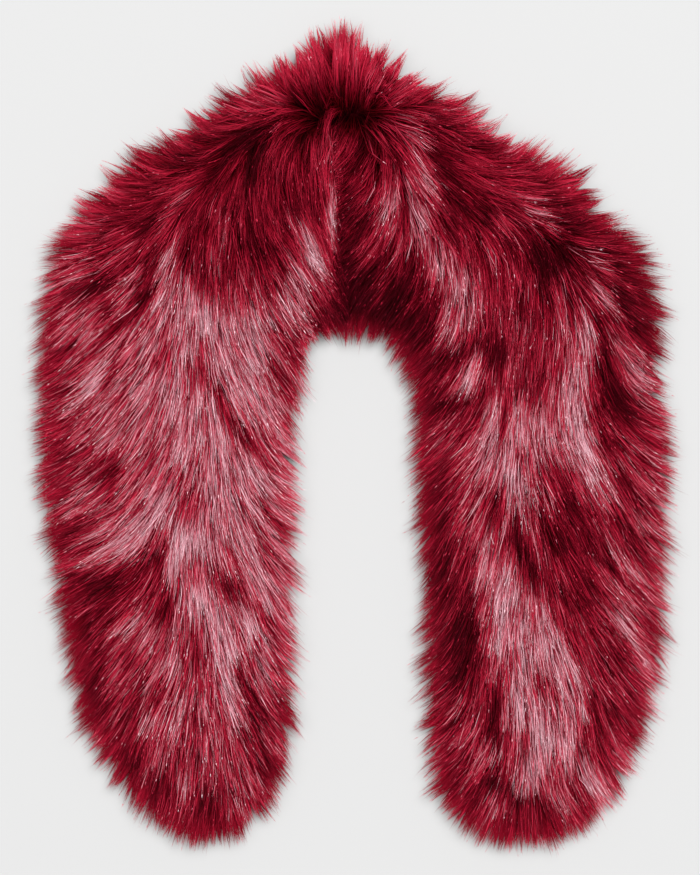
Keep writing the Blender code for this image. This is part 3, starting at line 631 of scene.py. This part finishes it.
def gathered_tufts(locks):
    """Tufts drawn towards their locks: their paths, grip on their hairs, and tone."""
    x, y, first = filled(TUFT_SPACINGS, TUFT_FILL)
    count = len(x)
    right = x > SEAM_X
    shag = shagginess(x, y)
    own, off = own_locks(x, y, right, locks)
    swerve = locks.swerve[own] + rng.normal(0.0, 1.0, count) * grown(TUFT_SWERVE, shag)
    length = locks.length[own] * rng.uniform(*TUFT_LENGTH, count)
    length[first:] *= rng.uniform(*TUFT_FILL_LENGTH, count - first)
    over = locks.over[own] + rng.uniform(*TUFT_OVER, count)
    over += grown(TUFT_OVER_ACROSS, off) * shag
    path = held_in(x, y, length, swerve, over, right)
    pull = locks.pull[own][:, None] * SHARES**TUFT_PULL_POWER
    path += (locks.path[own] - path) * pull[:, :, None]
    sink = locks.sink[own] + rng.uniform(*TUFT_SINK, count)
    sink += grown(TUFT_SINK_ACROSS, off) * grown(TUFT_UNEVEN, shag)
    tone = locks.tone[own] + rng.normal(0.0, TUFT_TONE, count) + grown(TUFT_SHADE_ACROSS, off)
    grip = np.clip(rng.uniform(*TUFT_GRIP, count) + TUFT_GRIP_SHAG * shag, 0.0, MOST_GRIP)
    root = root_height(x, y)
    tip = np.maximum(sample(PILE, *path[:, -1].T) - sink, LEAST_TIP)
    z = root[:, None] + (tip - root)[:, None] * (1.0 - (1.0 - SHARES) ** RISE_POWER)
    z = np.minimum(z, sample(PILE, path[:, :, 0], path[:, :, 1]) + MOST_RISE)
    return np.dstack((path, z)), grip, tone


def low_fringe():
    """Low fringe that hangs from the turned edge to the floor: its tufts' paths and tone."""
    x, y = scattered(FRINGE_SPACING, FRINGE_ROOTS[0])
    keep = sample(REACH, x, y) < FRINGE_ROOTS[1]
    x, y = x[keep], y[keep]
    count = len(x)
    right = x > SEAM_X
    swerve = rng.normal(0.0, FRINGE_SWERVE, count)
    length = rng.uniform(*FRINGE_LENGTH, count)
    over = rng.uniform(*FRINGE_OVER, count)
    _, over = reaching(x, y, length, swerve, over, right)
    path = held_in(x, y, length, swerve, over, right)
    root = rng.uniform(*FRINGE_ROOT, count) * root_height(x, y)
    tip = np.maximum(root * rng.uniform(*FRINGE_DROP, count), FRINGE_LOW)
    z = root[:, None] + (tip - root)[:, None] * SHARES**FRINGE_POWER
    tone = rng.normal(*FRINGE_SHADE_TONE, count)
    return np.dstack((path, np.maximum(z, FRINGE_LOW))), tone


pile_locks = combed_locks()
tuft_ways, tuft_grips, tuft_tones = gathered_tufts(pile_locks)
fringe_ways, fringe_tones = low_fringe()

# ---- hairs
GUARD_HAIRS, DOWN_HAIRS, FRINGE_HAIRS = 6, 5, 9

# Hairs a tuft, how far they stand about its path, how deep below it the lowest lie, where
# along it their stations are, how long they are as a share of it, how much darker, how wide.
Hairs = namedtuple("Hairs", "number spread deep stations lengths shade widths")
FOUR_STATIONS = (0.0, 0.36, 0.7, 1.0)
THREE_STATIONS = (0.0, 0.5, 1.0)
GUARD = Hairs(GUARD_HAIRS, 2.7, 7.0, FOUR_STATIONS, (0.78, 1.05), 0.0, (0.27, 0.52))
DOWN = Hairs(DOWN_HAIRS, 2.9, 11.0, THREE_STATIONS, (0.5, 0.92), 0.06, (0.30, 0.56))
FRINGE = Hairs(FRINGE_HAIRS, 2.8, 2.0, FOUR_STATIONS, (0.55, 1.06), 0.0, (0.27, 0.52))
DOWN_GRIP = 0.6  # as a share of the guard hairs'
GLINT_SHARE = 0.12  # of the guard hairs
GLINT_WIDTHS = (0.28, 0.46)

OUTER_REACH = 8.0  # tufts whose tips end this near the outline are outer ones
HAIR_LIFT = 0.9  # how far a tuft's middle hairs stand above its path
HAIR_SINK_ROUND, HAIR_SINK_POWER = 1.6, 1.8  # and how much lower the outer ones lie
LOOSE = (0.04, 0.05)  # share of hairs that stray from their tuft: more where it hangs
LOOSE_OUTER = 0.5  # fewer of them in outer tufts
LOOSE_HOLD, LOOSE_DRIFT = 0.25, 3.2
HOLD = (0.75, 1.05)  # how far hairs follow the tuft's grip
HOLD_OUTER, MOST_HOLD, HOLD_POWER = 0.3, 0.97, 1.3
WAVE = 0.7  # how far a hair waves, less up and down and in outer tufts
WAVE_UP, WAVE_OUTER = 0.6, 0.4
BENDS = (0.0, 1.0, -0.7)  # share of the wave at each station but the tip
DRIFT, DRIFT_OUTER = 0.9, 0.75  # how far a hair's tip drifts to the side
HAIR_LOW = 0.7  # least height of a hair's middle line

SEEN_TIP = 0.15  # a hair shows its colour this far from the last station to the tip
RIM_TIP = 0.65  # and meets the rim's least tone this far
PALE_SHARE = 0.36  # share of hairs that are paler than their place, the rest darker
PALE_TONE, DULL_TONE = 0.22, -0.10
HAIR_TONE = 0.09  # spread of a hair's own tone
BRIGHT_TONE = 0.40  # a few are much paler: painted glints
BRIGHT_SHARE = (0.01, 0.07)
EVEN_BEHIND = (0.3, 0.5)  # hairs differ less behind the roll
SHADED_FROM = 0.75  # painted shade: from this share on, hairs stay dark to the tip
SHADED_OUTER = 0.6  # but not in tufts more outer than this
SHADED_LIGHT = (0.22, 0.52)
DEPTH_LIGHT, DEPTH_MOST = 0.035, 8.0  # painted shade: light end lost for each mm of depth
TUFT_SHOWS = (0.3, 3.0)  # dark places show little of their tufts' own tones
OWN_SHOWS = (0.06, 0.14)  # and of their hairs', which show more where the pile hangs
HANGING_SHADE = (0.05, 0.09)  # more in outer tufts
DEPTH_SHADE = 0.02
ROUND_SHADE = 0.05  # darker round a tuft than in its middle
BEHIND_TONE = 0.08  # paler in outer tufts behind the roll
RIM_TONE, RIM_TONE_REACH = 0.24, 9.0  # least tone at the outline

# painted glints: bright slivers on some guard hair tips
GLINT_LIGHT = 0.7  # only hairs with this much light end have one
GLINT_LENGTH = (1.2, 2.8)
GLINT_LIFT = (0.0, 0.0, 0.25)
GLINT_TONE, GLINT_GAIN, GLINT_SPREAD = 0.18, 0.95, 0.08


def along_way(way, share):
    """Points of each path at its own share of the length; shares past 1 run on straight."""
    place = share * STEPS
    low = np.clip(place.astype(int), 0, STEPS - 1)
    part = (place - low)[:, None]
    row = np.arange(len(way))
    return way[row, low] * (1.0 - part) + way[row, low + 1] * part


def hair_tones(points, tuft_tone, outer, hanging, sink, rim, shade):
    """Tone of each hair, and how much it has of the fibre's light end: some stay dark as painted shade, deeper
    ones darken, and a few pale ones are painted glints.
    """
    count = len(points)
    seen = points[:, -2] * (1.0 - SEEN_TIP) + points[:, -1] * SEEN_TIP
    outmost = points[:, -2] * (1.0 - RIM_TIP) + points[:, -1] * RIM_TIP
    place_tone = sample(FROST_SHEEN_AND_SHADE, seen[:, 0], seen[:, 1])
    rank = rng.random(count)
    own = np.where(rank < PALE_SHARE, PALE_TONE, DULL_TONE) + rng.normal(0.0, HAIR_TONE, count)
    own += BRIGHT_TONE * (rank < grown(BRIGHT_SHARE, hanging))
    own *= 1.0 - grown(EVEN_BEHIND, outer) * (1.0 - hanging)
    shaded = (rank > SHADED_FROM) & (outer < SHADED_OUTER)
    depth_shaded_light = 1.0 - DEPTH_LIGHT * np.clip(sink, 0.0, DEPTH_MOST)
    light = np.where(shaded, rng.uniform(*SHADED_LIGHT, count), depth_shaded_light)
    tone = place_tone + tuft_tone * np.clip(grown(TUFT_SHOWS, place_tone), 0.0, 1.0)
    tone += own * (grown(OWN_SHOWS, hanging) + place_tone)
    # painted shade: darker on the hanging ends, on deeper hairs and round each tuft's edge
    tone -= grown(HANGING_SHADE, outer) * hanging + DEPTH_SHADE * sink + ROUND_SHADE * rim + shade
    tone += BEHIND_TONE * outer * (1.0 - hanging)
    return np.clip(tone, RIM_TONE * near_edge(outmost[:, 0], outmost[:, 1], RIM_TONE_REACH), 1.0), light


def hairs_of(kind, way, grip, tone):
    """Hairs of each tuft: points root to tip at the kind's stations, with tone and light end."""
    count = len(way) * kind.number
    tuft = np.repeat(np.arange(len(way)), kind.number)
    angle = rng.uniform(0.0, 2 * math.pi, count)
    radius = kind.spread * np.sqrt(rng.random(count))
    offset = np.stack((radius * np.cos(angle), radius * np.sin(angle)), axis=1)
    length = rng.uniform(*kind.lengths, count)
    rim = (radius / kind.spread) ** 2
    depth = kind.deep * rng.random(count) ** HAIR_SINK_POWER
    sink = depth - HAIR_LIFT + HAIR_SINK_ROUND * rim
    ends = way[tuft, -1, :2].T
    outer = near_edge(*ends, OUTER_REACH)
    hanging = 1.0 - sample(BEHIND, *ends)
    loose = rng.random(count) < grown(LOOSE, hanging) * (1.0 - LOOSE_OUTER * outer)
    hold = np.where(loose, LOOSE_HOLD, (grip[tuft] + HOLD_OUTER * outer) * rng.uniform(*HOLD, count))
    wave = rng.normal(0.0, WAVE, (count, 3)) * (1.0, 1.0, WAVE_UP)
    wave *= (1.0 - WAVE_OUTER * outer)[:, None]
    drift = rng.normal(0.0, DRIFT, (count, 2)) * (1.0 - DRIFT_OUTER * outer)[:, None]
    drift += loose[:, None] * rng.normal(0.0, LOOSE_DRIFT, (count, 2))
    points = []
    for share, bend in zip(kind.stations, (*BENDS[: len(kind.stations) - 1], 0.0)):
        spot = along_way(way[tuft], share * length)
        shrink = 1.0 - np.minimum(hold, MOST_HOLD) * share**HOLD_POWER
        spot[:, :2] += offset * shrink[:, None] + drift * share**2
        spot += wave * bend
        spot[:, 2] = np.maximum(spot[:, 2] - sink * share, HAIR_LOW)
        points.append(spot)
    points = np.stack(points, axis=1)
    return points, *hair_tones(points, tone[tuft], outer, hanging, sink, rim, kind.shade)


def unit_3d(vectors):
    """Vectors in space brought to length 1."""
    return vectors / np.maximum(np.linalg.norm(vectors, axis=-1, keepdims=True), TINY)


def glints(points, tone, light):
    """Painted glints: short bright slivers at the tips of some hairs, standing in for light caught on them."""
    chosen = (rng.random(len(points)) < GLINT_SHARE) & (light > GLINT_LIGHT)
    tip, last = points[chosen, -1], points[chosen, -2]
    start = tip + unit_3d(last - tip) * rng.uniform(*GLINT_LENGTH, (len(tip), 1)) + GLINT_LIFT
    bright = GLINT_TONE + GLINT_GAIN * tone[chosen] + rng.normal(0.0, GLINT_SPREAD, len(tip))
    return np.stack((start, tip), axis=1), np.clip(bright, 0.0, 1.0), np.ones(len(tip))


guard = hairs_of(GUARD, tuft_ways, tuft_grips, tuft_tones)
down = hairs_of(DOWN, tuft_ways, DOWN_GRIP * tuft_grips, tuft_tones)
fringe = hairs_of(FRINGE, fringe_ways, np.full(len(fringe_ways), FRINGE_GRIP), fringe_tones)
glint = glints(*guard)

# ---- hair meshes
# For hairs of two, three or four stations: the corners of each face, how far along the
# hair each corner is coloured, and how wide the hair is at each station but the tip.
Blade = namedtuple("Blade", "faces v widths")
BLADES = {
    2: Blade(((0, 1, 2),), (0.92, 0.92, 0.98), (1.0,)),
    3: Blade(((0, 1, 3), (0, 3, 2), (2, 3, 4)), (0.02, 0.02, 0.5, 0.5, 0.98), (0.95, 1.0)),
    4: Blade(
        ((0, 1, 3), (0, 3, 2), (2, 3, 5), (2, 5, 4), (4, 5, 6)),
        (0.02, 0.02, 0.36, 0.36, 0.70, 0.70, 0.98),
        (0.9, 1.0, 0.74),
    ),
}
BLADE_ROLL = 1.0  # how far a blade is rolled about its length, in radians
LEAN, LEAN_REACH = 0.9, 24.0  # how far blades at the rim face outwards
RIM_THIN, RIM_THIN_REACH = 0.15, 7.0  # how much thinner hairs are at the rim
BLADE_LOW = 0.4  # least height of a blade's corners
U_START, U_SPAN = 0.02, 0.96  # keeps the tone off the very edges of the map


def blades(points, tone, light, widths):
    """Corners, faces and UVs of tapered hair blades."""
    count, stations = points.shape[:2]
    blade = BLADES[stations]
    along = unit_3d(np.gradient(points, axis=1))
    roll = rng.uniform(-BLADE_ROLL, BLADE_ROLL, count)[:, None, None]
    x, y = points[:, -2, 0], points[:, -2, 1]
    lean = LEAN * near_edge(x, y, LEAN_REACH)
    up = np.stack((sample(OUT_X, x, y) * lean, sample(OUT_Y, x, y) * lean, np.ones(count)), axis=1)
    side = unit_3d(np.cross(along, up[:, None, :]))
    side = side * np.cos(roll) + np.cross(side, along) * np.sin(roll)
    half = 0.5 * rng.uniform(*widths, count) * (1.0 - RIM_THIN * near_edge(x, y, RIM_THIN_REACH))
    corners = []
    for k, share in enumerate(blade.widths):
        reach = side[:, k] * (share * half)[:, None]
        corners += [points[:, k] - reach, points[:, k] + reach]
    corners = np.stack((*corners, points[:, -1]), axis=1)
    corners[:, :, 2] = np.maximum(corners[:, :, 2], BLADE_LOW)
    per = corners.shape[1]
    faces = (np.arange(count)[:, None, None] * per + np.array(blade.faces)).reshape(-1, 3)
    u = np.repeat(U_START + U_SPAN * tone, per)
    v = (np.array(blade.v) * light[:, None]).ravel()
    return corners.reshape(-1, 3), faces, np.stack((u, v), axis=1)


def pile_piece(name, kinds, collection):
    """One joined mesh of hair blades; U holds the hair's tone and V runs root to tip."""
    corners, faces, uvs, first = [], [], [], 0
    for kind in kinds:
        part = blades(*kind)
        corners.append(part[0])
        faces.append(part[1] + first)
        uvs.append(part[2])
        first += len(part[0])
    corners, faces, uvs = (np.concatenate(part) for part in (corners, faces, uvs))
    mesh = bpy.data.meshes.new(name)
    mesh.vertices.add(len(corners))
    mesh.vertices.foreach_set("co", (corners * MM).astype(np.float32).ravel())
    mesh.loops.add(len(faces) * 3)
    mesh.loops.foreach_set("vertex_index", faces.astype(np.int32).ravel())
    mesh.polygons.add(len(faces))
    mesh.polygons.foreach_set("loop_start", np.arange(0, len(faces) * 3, 3, dtype=np.int32))
    mesh.polygons.foreach_set("use_smooth", np.ones(len(faces), dtype=bool))
    layer = mesh.uv_layers.new(name="OFBake")
    layer.data.foreach_set("uv", uvs[faces.ravel()].astype(np.float32).ravel())
    mesh.update()
    mesh.validate()
    piece = bpy.data.objects.new(name, mesh)
    collection.objects.link(piece)
    return piece


# ---- materials
# Colours of the dyed fibre, root to tip, at six tones from dark to frosted; the dark root end also serves as
# painted shade where a hair's light end is cut short.
FIBRE_STOPS = (0.0, 0.35, 0.68, 0.95)  # where along the hair each of a row's four colours lies
Fibre = namedtuple("Fibre", "tone root shaft upper tip")
FIBRES = (
    (0.0, (0.003, 0.0000, 0.0002), (0.010, 0.0001, 0.0008), (0.030, 0.0004, 0.0024), (0.040, 0.0008, 0.0036)),
    (0.25, (0.006, 0.0001, 0.0003), (0.058, 0.0004, 0.0020), (0.190, 0.0022, 0.0106), (0.262, 0.0058, 0.0202)),
    (0.5, (0.010, 0.0002, 0.0009), (0.142, 0.0018, 0.0074), (0.455, 0.0112, 0.0368), (0.620, 0.0300, 0.0695)),
    (0.61, (0.012, 0.0003, 0.0011), (0.175, 0.0082, 0.0202), (0.485, 0.0370, 0.0730), (0.640, 0.0880, 0.1390)),
    (0.72, (0.014, 0.0004, 0.0014), (0.205, 0.0172, 0.0330), (0.540, 0.1200, 0.1660), (0.700, 0.2740, 0.3320)),
    (1.0, (0.020, 0.0010, 0.0030), (0.270, 0.0545, 0.0770), (0.700, 0.3650, 0.4260), (0.910, 0.6500, 0.7080)),
)

KNIT_COLOURS = ((0.25, (0.004, 0.0001, 0.0004)), (0.75, (0.022, 0.0004, 0.0018)))


def new_material(name, settings):
    """A material with its node tree and shader, whose inputs are set by name."""
    material = bpy.data.materials.new(name)
    material.use_nodes = True
    shader = material.node_tree.nodes["Principled BSDF"]
    for socket, value in settings.items():
        shader.inputs[socket].default_value = value
    return material, material.node_tree, shader


def ramp(tree, stops):
    """Colour ramp node with the given stops."""
    node = tree.nodes.new("ShaderNodeValToRGB")
    bar = node.color_ramp
    while len(bar.elements) < len(stops):
        bar.elements.new(0.5)
    for element, (position, colour) in zip(bar.elements, stops):
        element.position = position
        element.color = (*colour, 1.0)
    return node


def pile_material():
    """Dyed fibre: dark root, crimson shaft, silvery-pink tip where the tone is high; the dark root end also
    gives painted shade, and the palest tips are partly painted sheen.
    """
    shine = {"Specular IOR Level": 0.06, "Specular Tint": (1.0, 0.35, 0.42, 1.0)}
    material, tree, shader = new_material("burgundy_pile", {"Roughness": 0.5, "IOR": 1.4, **shine})
    where = tree.nodes.new("ShaderNodeUVMap")
    where.uv_map = "OFBake"
    split = tree.nodes.new("ShaderNodeSeparateXYZ")
    tree.links.new(where.outputs["UV"], split.inputs[0])
    colour, before = None, 0.0
    for fibre in map(Fibre._make, FIBRES):
        band = ramp(tree, tuple(zip(FIBRE_STOPS, fibre[1:])))
        tree.links.new(split.outputs["Y"], band.inputs["Fac"])
        if colour is None:
            colour = band.outputs["Color"]
        else:
            share = tree.nodes.new("ShaderNodeMapRange")
            share.inputs["From Min"].default_value = before
            share.inputs["From Max"].default_value = fibre.tone
            tree.links.new(split.outputs["X"], share.inputs["Value"])
            blend = tree.nodes.new("ShaderNodeMix")
            blend.data_type = "RGBA"
            tree.links.new(share.outputs["Result"], blend.inputs["Factor"])
            tree.links.new(colour, blend.inputs["A"])
            tree.links.new(band.outputs["Color"], blend.inputs["B"])
            colour = blend.outputs["Result"]
        before = fibre.tone
    tree.links.new(colour, shader.inputs["Base Color"])
    return material


def cloth_material():
    """Knitted backing with short dense underfur."""
    matt = {"Roughness": 0.95, "Specular IOR Level": 0.0}
    material, tree, shader = new_material("fur_backing", matt)
    where = tree.nodes.new("ShaderNodeTexCoord")
    noise = tree.nodes.new("ShaderNodeTexNoise")
    noise.inputs["Scale"].default_value = 420.0
    noise.inputs["Detail"].default_value = 6.0
    tree.links.new(where.outputs["Object"], noise.inputs["Vector"])
    colour = ramp(tree, KNIT_COLOURS)
    tree.links.new(noise.outputs["Fac"], colour.inputs["Fac"])
    tree.links.new(colour.outputs["Color"], shader.inputs["Base Color"])
    bump = tree.nodes.new("ShaderNodeBump")
    bump.inputs["Strength"].default_value = 0.7
    bump.inputs["Distance"].default_value = MM
    tree.links.new(noise.outputs["Fac"], bump.inputs["Height"])
    tree.links.new(bump.outputs["Normal"], shader.inputs["Normal"])
    return material


# ---- fur cloth
WELD = 0.02
SEWN_REACH = 1.0  # corners this near the seam stay at it
CALM_ROUNDS, CALM = 8, 0.5
CLOTH_INSET, CLOTH_INSET_REACH = 13.0, 60.0  # how far in from the outline the cloth ends
CLOTH_LOW, CLOTH_WALL = 0.3, 1.5  # least height over the floor, and thickness


def fur_cloth(name, node, collection):
    """Thin cloth under the pile: the node's form, calmed, lowered and drawn in all round."""
    body = bmesh.new()
    body.from_mesh(node.data)
    bmesh.ops.remove_doubles(body, verts=body.verts, dist=WELD * MM)
    sewn = {}
    for vertex in body.verts:
        if abs(vertex.co.x / MM - SEAM_X) < SEWN_REACH:
            sewn[vertex] = vertex.co.x
    for _ in range(CALM_ROUNDS):
        bmesh.ops.smooth_vert(
            body, verts=body.verts, factor=CALM, use_axis_x=True, use_axis_y=True, use_axis_z=True
        )
    for vertex, edge in sewn.items():
        vertex.co.x = edge
    place = np.array([vertex.co[:] for vertex in body.verts]) / MM
    inset = CLOTH_INSET * near_edge(place[:, 0], place[:, 1], CLOTH_INSET_REACH)
    place[:, 0] -= sample(OUT_X, place[:, 0], place[:, 1]) * inset
    place[:, 1] -= sample(OUT_Y, place[:, 0], place[:, 1]) * inset
    lowest = place[:, 2].min()
    place[:, 2] = np.maximum((place[:, 2] - lowest) * CLOTH_SHARE, CLOTH_LOW)
    for vertex, spot in zip(body.verts, place):
        vertex.co = Vector(spot * MM)
    bmesh.ops.recalc_face_normals(body, faces=body.faces)
    for face in body.faces:
        face.smooth = True
    mesh = bpy.data.meshes.new(name)
    body.to_mesh(mesh)
    body.free()
    piece = bpy.data.objects.new(name, mesh)
    collection.objects.link(piece)
    wall = piece.modifiers.new("cloth_wall", "SOLIDIFY")
    wall.thickness = CLOTH_WALL * MM
    wall.offset = -1.0
    wall.use_quality_normals = True
    return piece


# ---- pieces
HAIR_KINDS = (
    (guard, GUARD.widths),
    (down, DOWN.widths),
    (fringe, FRINGE.widths),
    (glint, GLINT_WIDTHS),
)
MIDDLE_TOP = 95.0  # the pile of a panel is three pieces, parted at these heights
MIDDLE_FOOT = -75.0
SECTIONS = (
    ("back", MIDDLE_TOP, math.inf),
    ("middle", MIDDLE_FOOT, MIDDLE_TOP),
    ("end", -math.inf, MIDDLE_FOOT),
)

dressed = bpy.data.collections.new("fur_collar_wrap_looks")
bpy.context.scene.collection.children.link(dressed)
backing = cloth_material()
pile = pile_material()

for side, turned in (("left", -1.0), ("right", 1.0)):
    cloth = fur_cloth(side + "_fur_cloth", nodes[side + "_fur_panel"], dressed)
    cloth.data.materials.append(backing)
    hair = []
    for section, low, high in SECTIONS:
        kinds = []
        for hairs, widths in HAIR_KINDS:
            x, y = hairs[0][:, 0, 0], hairs[0][:, 0, 1]
            chosen = ((x - SEAM_X) * turned > 0.0) & (y >= low) & (y < high)
            kinds.append((*(part[chosen] for part in hairs), widths))
        piece = pile_piece(f"{side}_{section}_pile", kinds, dressed)
        piece.data.materials.append(pile)
        hair.append(piece)
    for piece in (cloth, *hair):
        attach(piece, "root")
        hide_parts(side + "_fur_panel")

# ---- floor and light
# Metres and watts.
FLOOR_HALF = 6.0
FLOOR_GREY = 0.459
Light = namedtuple("Light", "name place size power")
LIGHTS = (
    ("key", (0.9, 1.3, 6.0), 2.6, 500.0),
    ("fill", (-1.6, -0.4, 6.0), 3.6, 182.0),
)


def pale_floor():
    """Plain pale floor."""
    body = bmesh.new()
    bmesh.ops.create_grid(body, x_segments=1, y_segments=1, size=FLOOR_HALF)
    mesh = bpy.data.meshes.new("floor")
    body.to_mesh(mesh)
    body.free()
    floor = bpy.data.objects.new("floor", mesh)
    bpy.context.scene.collection.objects.link(floor)
    grey = {"Base Color": (FLOOR_GREY, FLOOR_GREY, FLOOR_GREY, 1.0), "Roughness": 0.9}
    material, _, _ = new_material("pale_floor", {"Specular IOR Level": 0.1, **grey})
    mesh.materials.append(material)


def soft_light(name, place, size, power):
    """Large square studio light aimed at the wrap."""
    data = bpy.data.lights.new(name, "AREA")
    data.size = size
    data.energy = power
    light = bpy.data.objects.new(name, data)
    light.location = place
    light.rotation_euler = (-Vector(place)).to_track_quat("-Z", "Y").to_euler()
    bpy.context.scene.collection.objects.link(light)


pale_floor()
for lamp in map(Light._make, LIGHTS):
    soft_light(*lamp)

world = bpy.data.worlds.new("studio")
bpy.context.scene.world = world
world.use_nodes = True
world.node_tree.nodes["Background"].inputs["Color"].default_value = (1.0, 1.0, 1.0, 1.0)
world.node_tree.nodes["Background"].inputs["Strength"].default_value = 0.228
bpy.context.scene.view_settings.view_transform = "Standard"

# ---- camera
DISTANCE = 3.0  # metres over the floor
VIEW_HEIGHT = 0.525  # what the view spans at the level of the pile
VIEW_LEVEL = 0.03
VIEW_X, VIEW_Y = -0.0022, 0.0004

lens_data = bpy.data.cameras.new("camera")
lens_data.sensor_width = 36.0
lens_data.lens = lens_data.sensor_width * (DISTANCE - VIEW_LEVEL) / VIEW_HEIGHT
camera = bpy.data.objects.new("camera", lens_data)
camera.location = (VIEW_X, VIEW_Y, DISTANCE)
bpy.context.scene.collection.objects.link(camera)
bpy.context.scene.camera = camera
